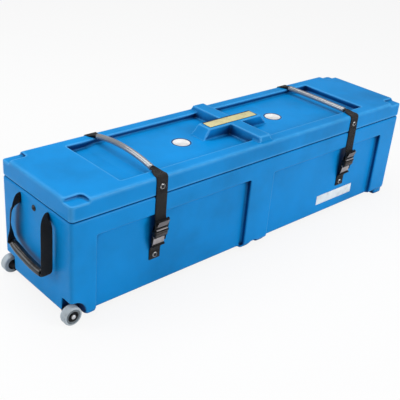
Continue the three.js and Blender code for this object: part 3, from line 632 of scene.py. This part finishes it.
def strap_over(name, x):
    """The webbing over the lid. It narrows to go through the tube."""
    inside = [tube_point(name, y) for y in np.linspace(TUBE_Y[0] + 5, TUBE_Y[1] - 5, 9)]
    over = [
        (-WEB_Y, STRAP_SPLIT_Z),
        (-WEB_Y, LID_SCREW_Z),
        *edge_turn(-1),
        (-139, LID_TOP + 1.5, 16, 1.1, -0.2),
        (-130, LID_TOP + 2.6, 12.8, 1.2, -1.2),
        (-122, LID_TOP + 4.2, 9.6, 1.5, -2.6),
        (-114.5, TUBE_END_Z[name] + 0.6, 7.2, 2.1, -1.8),
        *[(y, z, 4.7, 2.5, 0) for y, z in inside],
        (117, TUBE_END_Z[name] + 0.6, 7.2, 2.1, -1.8),
        (124, LID_TOP + 4.2, 9.6, 1.5, -2.6),
        (131, LID_TOP + 2.6, 12.8, 1.2, -1.2),
        (139, LID_TOP + 1.5, 16, 1.1, -0.2),
        *edge_turn(1)[::-1],
        (WEB_Y, LID_SCREW_Z),
        (WEB_Y, STRAP_SPLIT_Z),
    ]
    place_webbing(f"webbing_over_{name}", strap_rows(x, over), 3, "lid",
                  (f"lid_strap_front_{name}", f"tube_webbing_{name}", f"lid_strap_rear_{name}"))


def carry_tube(name, x):
    """The clear tube round the webbing, to lift the case by."""
    line = [(x, *tube_point(name, y)) for y in np.linspace(*TUBE_Y, 33)]
    tube = swept_tube(f"clear_tube_{name}", line, TUBE_R, TUBE_BORE)
    place(f"clear_tube_{name}", tube, CLEAR, "lid", (f"carry_tube_{name}",), "carry_tube")


def hinge_strap(name, x):
    """The webbing down the rear, at the lid's hinge."""
    hinge = [(WEB_Y, z) for z in np.linspace(STRAP_SPLIT_Z, HINGE_LOW_Z, 14)]
    low, high = [(x, WEB_Y, z) for z in HINGE_BEND_Z]
    place_webbing(f"webbing_hinge_{name}", strap_rows(x, hinge), 1, None, (f"hinge_strap_{name}",),
                  blend=("case", "lid", low, high))


for name, x in STRAPS.items():
    strap_over(name, x)
    carry_tube(name, x)
    hinge_strap(name, x)
    fastener(f"front_{name}", f"lid_front_{name}", (x, -WEB_OUTER_Y, LID_SCREW_Z), (0, -1, 0), "lid")
    fastener(f"rear_{name}", f"lid_rear_{name}", (x, WEB_OUTER_Y, LID_SCREW_Z), (0, 1, 0), "lid")
    fastener(f"hinge_{name}", f"body_rear_{name}", (x, WEB_OUTER_Y, REAR_SCREW_Z), (0, 1, 0), "case")


# Buckles, where a place is across, down from the top and out of the middle plane

BUCKLE_UP = Vector((0, -math.sin(BUCKLE_TILT), math.cos(BUCKLE_TILT)))
BUCKLE_OUT = Vector((0, -math.cos(BUCKLE_TILT), -math.sin(BUCKLE_TILT)))


def on_buckle(strap_x):
    """The function that turns a place on the strap's buckle into a place on the case."""
    def spot(across, down, out):
        return Vector((strap_x + across, *BUCKLE_TOP)) - BUCKLE_UP * down + BUCKLE_OUT * out
    return spot


def wrap(spot, bar_down, sense):
    """Places (y, z) of webbing that turns round a bar, under it where sense is 1 and over it where -1."""
    turn = []
    for degrees in range(-90, 91, 30):
        a = math.radians(degrees)
        point = spot(0, bar_down + sense * WRAP_R * math.cos(a), WRAP_R * math.sin(a))
        turn.append((point.y, point.z))
    return turn


def leaning_sheet(across, down, out, upper, lower):
    """A box pressed to a sheet, which stands out by upper at its upper edge and by lower at its lower one.

    out only sets how wide its bevel is.
    """
    middle = sum(down) / 2
    return [across, down, out, lambda x, d, o: (x, d, upper if d < middle else lower)]


PLUG_BOXES = [
    [(-22.5, -19.5), (-2, 26), (-3.5, 3.5)],
    [(19.5, 22.5), (-2, 26), (-3.5, 3.5)],
    [(-20, 20), (-1.6, 3.2), (-2, 2)],
    [(-22.5, 22.5), (10, 26), (-4, 3.5)],
    [(-5, 5), (25, 52), (-2.6, 2.6)],
]
# Sheets painted lit, on the plug's flap
FLAP_BOXES = [
    leaning_sheet((-17.5, 17.5), (-3, 16), (3.2, 6), 10.5, 4.8),
    [(-17.5, 17.5), (23, 26), (3.2, 7)],
]
SOCKET_BOXES = [
    [(-22.5, 22.5), (28, 34), (4.2, 5.8)],
    [(-22.5, 22.5), (28, 34), (-6.8, -4.6)],
    [(-22.5, -20), (28, 36), (-6.8, 5.8)],
    [(20, 22.5), (28, 36), (-6.8, 5.8)],
    [(-20, 20), (28, 48), (4.2, 5.6)],
    [(-20, 20), (28, 60), (-6.8, -4.6)],
    [(-22, -20), (50, 67), (-6.8, 0.5)],
    [(20, 22), (50, 67), (-6.8, 0.5)],
    [(-21, 21), (58, 67), (-6.8, -1.5)],
    [(-20, -17), (66, 82), (-5, -2.5)],
    [(17, 20), (66, 82), (-5, -2.5)],
    [(-19, 19), (75, 80), (-2.2, 2.2)],
]
# A sheet painted lit, on the socket's lower face
SKIRT_BOXES = [[(-18, 18), (47, 79), (-6, 0)]]
# Ribs on the socket, in the painted glint
RIB_BOXES = [
    [(-18.5, 18.5), (31, 34), (5, 7.8)],
    [(-18.5, 18.5), (36, 43), (5, 8.2)],
]
BUCKLE_BEVEL, FACE_BEVEL = 1.1, 0.9
TAIL_BEND = (-WEB_Y, 240), (-WEB_Y - 1, 212)


def strap_tail(name, x, spot):
    """The strap's front end, which hangs from the lid and turns round the plug's bar."""
    top = spot(0, -3, WRAP_R)
    drop = [
        (-WEB_Y, STRAP_SPLIT_Z), (-WEB_Y, 270), (-WEB_Y, 250), (-WEB_Y, 238), (-WEB_Y, 228),
        (-WEB_Y - 0.4, 221.5), (-WEB_Y - 1.2, 218), *wrap(spot, PLUG_BAR_DOWN, 1), (top.y, top.z),
    ]
    place_webbing(f"webbing_drop_{name}", strap_rows(x, drop), 2, None, (f"strap_tail_{name}",),
                  blend=("lid", f"tail_{name}", *[(x, *at) for at in TAIL_BEND]))


def buckle(name, spot):
    """The plug and its flap, which hang on the tail, and the socket with its skirt and ribs, on the case.
    The flap, skirt and ribs are sheets in paler copies of the buckle's black: painted light where its faces
    catch the lamps.
    """
    tail = f"tail_{name}"
    place_boxes(f"plug_{name}", PLUG_BOXES, spot, BUCKLE_BEVEL, BUCKLE, tail,
                (f"buckle_plug_{name}",), "buckle")
    place_boxes(f"flap_{name}", FLAP_BOXES, spot, FACE_BEVEL, PAINTED_LIT_BUCKLE, tail)
    place_boxes(f"socket_{name}", SOCKET_BOXES, spot, BUCKLE_BEVEL, BUCKLE, "case",
                (f"buckle_socket_{name}",), "buckle")
    place_boxes(f"skirt_{name}", SKIRT_BOXES, spot, FACE_BEVEL, PAINTED_LIT_BUCKLE, "case")
    place_boxes(f"rib_{name}", RIB_BOXES, spot, FACE_BEVEL, PAINTED_GLINT_BUCKLE, "case")


def lower_strap(name, x, spot):
    """The short webbing from the socket's bar to its screw on the front panel."""
    top, end = spot(0, 74, WRAP_R), spot(0, 80.5, -4.85)
    hang = [
        (top.y, top.z), *wrap(spot, SOCKET_BAR_DOWN, -1)[::-1][1:], (end.y, end.z),
        (-PANEL_Y - 5.2, 129), (-PANEL_Y - 2.6, 123), (PANEL_WEB_Y, 118.5), (PANEL_WEB_Y, LOWER_SCREW_Z),
        (PANEL_WEB_Y, 92),
    ]
    place_webbing(f"webbing_anchor_{name}", strap_rows(x, hang), 2, "case", (f"lower_strap_{name}",))
    fastener(f"anchor_{name}", f"lower_{name}", (x, -PANEL_Y - WEB_GAP - WEB_THICK, LOWER_SCREW_Z),
             (0, -1, 0), "case")


def colour_prongs(name):
    """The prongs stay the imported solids, in the buckle's black."""
    for hand in "ab":
        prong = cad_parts[f"buckle_prong_{name}_{hand}"]
        prong.data.materials.clear()
        prong.data.materials.append(BUCKLE)


for name, x in STRAPS.items():
    to_case = on_buckle(x)
    strap_tail(name, x, to_case)
    buckle(name, to_case)
    lower_strap(name, x, to_case)
    colour_prongs(name)


# End handles

HANDLE_HALF = 15.7
GRIP_R, GRIP_BORE, GRIP_HALF, GRIP_SHIFT = 11.8, 8.8, 68.0, 4.0


def grip_height(k):
    """The grip's height at a place from -1 at its front end to 1 at its rear end."""
    return 112 + 5 * k * k + 8 * k


def leg(side, path):
    """Stations (x, y, z, across, half, thick, cup) from inside the wall to the grip's middle.

    x counts from the case's middle, and y from the handle's. path gives the hanging part as (x out of the
    wall, y, z, twist in degrees, lean, half width).
    """
    hanging = []
    for px, py, pz, twist, lean, half in path:
        turn = math.radians(twist)
        across = (math.cos(turn), -math.sin(turn), lean)
        hanging.append((HALF_LENGTH + px, py, pz, across, half, 1.1, 0.4 if lean > 0 else 0))
    low, end_z = path[-1][1], grip_height(side)
    return [
        (HALF_LENGTH - INNER_RUN_DEPTH, SLOT_SPREAD - 14, HANDLE_SCREW_Z, (0, 0, 1), 13, 1.1, 0),
        (HALF_LENGTH - 6.2, SLOT_SPREAD - 4, 255, (0, 0, 1), 12.5, 1.1, 0),
        (HALF_LENGTH - 3.5, SLOT_SPREAD - 1, 257, (0.15, 0, 1), 11.5, 1.1, 0),
        *hanging,
        (HANDLE_X, low - 0.5, end_z + 11, across, 15, 1.1, 0.5),
        (HANDLE_X, low - 4, end_z + 4, (1, 0, 0), 12.5, 1.2, 1.2),
        (HANDLE_X, low - 10, end_z + 1, (1, 0, 0), 9, 1.6, 1.6),
        (HANDLE_X, 58, grip_height(0.96 * side), (1, 0, 0), 6.6, 2.3, 0),
        (HANDLE_X, 36, grip_height(0.6 * side), (1, 0, 0), 6.6, 2.3, 0),
        (HANDLE_X, 14, grip_height(0.23 * side), (1, 0, 0), 6.6, 2.3, 0),
    ]


LEGS = {
    -1: leg(-1, [
        (3, 65, 262, 0, 2.0, 10), (9, 71, 261, 0, 0.8, 12), (15, 79, 254, 0, 0.35, 14.5),
        (18.5, 85, 244, 0, 0.1, 15.5), (20, 87, 230, 0, 0, HANDLE_HALF), (20, 86.5, 205, 0, 0, HANDLE_HALF),
        (20, 85.5, 170, 0, 0, HANDLE_HALF), (20, 84.5, 134, 0, 0, HANDLE_HALF),
    ]),
    1: leg(1, [
        (3, 64, 261, 0, 2.0, 9.5), (7, 64.5, 254, 0, 0.9, 9.5), (10, 65, 244, 10, 0.3, 11),
        (14, 69, 232, 35, 0, 13), (18.5, 76.5, 219, 62, 0, 14.5), (20, 80, 200, 62, 0, 15),
        (20, 83, 174, 62, 0, HANDLE_HALF), (20, 83.5, 156, 48, 0, HANDLE_HALF),
        (20, 82.5, 142, 34, 0, HANDLE_HALF),
    ]),
}

def handle_loop(name, end):
    """The webbing from slot to slot, by way of the grip."""
    front, rear = [[
        (end * px, HANDLE_Y + side * py, pz, end * across[0], across[1], across[2], half, thick, cup)
        for px, py, pz, across, half, thick, cup in stations
    ] for side, stations in LEGS.items()]
    place_webbing(f"webbing_handle_{name}", front + rear[::-1], 2, None, (f"handle_webbing_{name}",),
                  blend=("case", f"handle_{name}", *[(end * out, HANDLE_Y, z) for out, z in HANDLE_BEND]))


def handle_grip(name, end):
    """The tube that the hand holds. It narrows at its ends."""
    steps = np.linspace(-1, 1, 25)
    line = [(end * HANDLE_X, HANDLE_Y + GRIP_SHIFT + k * GRIP_HALF, 1.5 + grip_height(0.05 + 1.1 * k))
            for k in steps]
    grip = swept_tube(f"grip_tube_{name}", line, GRIP_R - 1.6 * steps ** 6, GRIP_BORE)
    place(f"grip_tube_{name}", grip, GRIP, f"handle_{name}", (f"handle_grip_{name}",), "grip")


def handle_inside(name, end):
    """The webbing inside the wall, and the screw that holds it there."""
    inner = [(end * (HALF_LENGTH - INNER_RUN_DEPTH), HANDLE_Y + y, HANDLE_SCREW_Z, 0, 0, 1, 13, 1.1, 0)
             for y in np.linspace(-INNER_RUN_HALF, INNER_RUN_HALF, 9)]
    place_webbing(f"webbing_inner_{name}", inner, 1, "case", (f"handle_inner_run_{name}",))
    fastener(f"handle_{name}", f"handle_{name}", (end * HALF_LENGTH, HANDLE_Y, HANDLE_SCREW_Z),
             (end, 0, 0), "case", DARK_STEEL)


for name, end in ENDS.items():
    handle_loop(name, end)
    handle_grip(name, end)
    handle_inside(name, end)


# Wheels

TYRE_PROFILE = [
    (14.6, 0), (20.5, 0.2), (22.6, 0.6), (24.3, 1.9), (25, 4), (25, 19), (24.3, 21.1), (22.6, 22.4),
    (20.8, 22.9), (19.8, 22.4), (18.6, 22.2), (16.4, 22.3), (15.6, 22.8), (14.6, 22.6), (14.6, 0),
]
RING_BAND = 9
HUB_PROFILE = [
    (4.4, 0), (7.8, 0), (8, 0.3), (8, 18), (14.2, 18), (14.4, 18.4), (14.4, 38.2), (14.0, 39.0),
    (12.6, 39.3), (11.8, 38.4), (11.2, 36.8), (8.4, 36.4), (7.6, 37.2), (7.2, 38.3), (4.4, 38.4), (4.4, 0),
]
BOLT_PROFILE = [
    (0, 0), (3.9, 0), (3.9, 70.8), (6.0, 70.8), (6.2, 71.2), (6.2, 72.8), (5.6, 74.2), (4.2, 75.0),
    (2.2, 75.3), (0, 75.3),
]
TYRE_MESH = turned_mesh("tyre", TYRE_PROFILE, 72, ((TYRE, 0), (TYRE_RING, RING_BAND)))
HUB_MESH = turned_mesh("hub", HUB_PROFILE, 64)
BOLT_MESH = turned_mesh("bolt", BOLT_PROFILE, 40)

for name, side in (("front", -1), ("rear", 1)):
    for piece, mesh, material, start, node, slot, body in (
        ("tyre", TYRE_MESH, TYRE, TYRE_START, "wheel_tyre", "tyre", f"wheel_{name}"),
        ("hub", HUB_MESH, HUB, HUB_START, "wheel_hub", "hub", f"wheel_{name}"),
        ("bolt", BOLT_MESH, BOLT_STEEL, BOLT_START, "axle_bolt", "steel", "case"),
    ):
        place(f"{piece}_{name}", mesh, material, body, (f"{node}_{name}",), slot,
              pointing((WHEEL_X, side * start, WHEEL_R), (0, side, 0)))


# Floor, light and camera

FLOOR_HALF, FLOOR_DROP = 12, 0.0005
AZIMUTH, ELEVATION, ROLL = (math.radians(v) for v in (-44.414, 27.771, 4.981))
CAMERA_AT, LENS, SENSOR_WIDTH = (-1.428, -1.3652, 1.1212), 66.627, 36


def seen_rays(tree):
    """One for rays from the camera and rays through clear parts, and zero for the rest."""
    path = add(tree, "ShaderNodeLightPath")
    return maths(tree, "MAXIMUM", path.outputs["Is Camera Ray"], path.outputs["Is Transmission Ray"])


def floor_material():
    """Pale floor: plain grey-white to the light, and nearly white to the camera, with the shadow kept."""
    made, tree, shader = new_material("floor_pale", (0.8, 0.8, 0.8), 0.9)
    glow = add(tree, "ShaderNodeEmission", Color=(1, 1, 1, 1), Strength=1.0)
    seen = add(tree, "ShaderNodeMixShader", i0=0.88, i1=shader.outputs[0], i2=glow.outputs[0])
    choice = add(tree, "ShaderNodeMixShader", i0=seen_rays(tree), i1=shader.outputs[0], i2=seen.outputs[0])
    tree.links.new(choice.outputs[0], tree.nodes["Material Output"].inputs["Surface"])
    return made


def lay_floor():
    """A floor just under the wheels and feet. It is only for the picture."""
    mesh = bpy.data.meshes.new("floor")
    corners = [(x * FLOOR_HALF, y * FLOOR_HALF, 0) for x, y in ((-1, -1), (1, -1), (1, 1), (-1, 1))]
    mesh.from_pydata(corners, [], [(0, 1, 2, 3)])
    mesh.materials.append(floor_material())
    floor = bpy.data.objects.new("floor", mesh)
    scene.collection.objects.link(floor)
    floor.location.z = -FLOOR_DROP


def make_world():
    """A soft pale sky for the light, and plain white behind the case."""
    world = bpy.data.worlds.new("studio")
    scene.world = world
    world.use_nodes = True
    tree = world.node_tree
    tree.nodes.clear()
    soft = add(tree, "ShaderNodeBackground", Color=(0.95, 0.97, 1.0, 1), Strength=0.32)
    white = add(tree, "ShaderNodeBackground", Color=(1, 1, 1, 1), Strength=1.0)
    sky = add(tree, "ShaderNodeMixShader", i0=seen_rays(tree), i1=soft.outputs[0], i2=white.outputs[0])
    tree.links.new(sky.outputs[0], add(tree, "ShaderNodeOutputWorld").inputs["Surface"])


def lamp(name, at, target, size, power):
    """A square area light at a place, turned to a target, in metres and watts."""
    data = bpy.data.lights.new(name, "AREA")
    data.shape = "SQUARE"
    data.size = size
    data.energy = power
    made = bpy.data.objects.new(name, data)
    scene.collection.objects.link(made)
    made.location = at
    made.rotation_mode = "QUATERNION"
    made.rotation_quaternion = (Vector(target) - Vector(at)).to_track_quat("-Z", "Y")


def make_camera():
    """The photograph's camera, which looks down on the case's front left corner and leans a little."""
    flat = math.cos(ELEVATION)
    back = Vector((math.sin(AZIMUTH) * flat, -math.cos(AZIMUTH) * flat, math.sin(ELEVATION)))
    level = (-back).cross(Vector((0, 0, 1))).normalized()
    above = level.cross(-back)
    right = level * math.cos(ROLL) + above * math.sin(ROLL)
    upward = above * math.cos(ROLL) - level * math.sin(ROLL)
    data = bpy.data.cameras.new("camera")
    data.lens = LENS
    data.sensor_width = SENSOR_WIDTH
    made = bpy.data.objects.new("camera", data)
    scene.collection.objects.link(made)
    made.matrix_world = Matrix.Translation(CAMERA_AT) @ Matrix((right, upward, back)).transposed().to_4x4()
    scene.camera = made


lay_floor()
make_world()
lamp("top_softbox", (-0.35, 0.5, 2.6), (-0.1, 0, 0.2), 2.4, 50)
lamp("front_softbox", (1.5, -3.7, 2.0), (0, 0, 0.15), 1.7, 92)
lamp("end_softbox", (-2.7, 1.3, 1.3), (-0.5, 0, 0.15), 1.6, 25)
make_camera()
scene.view_settings.view_transform = "Standard"
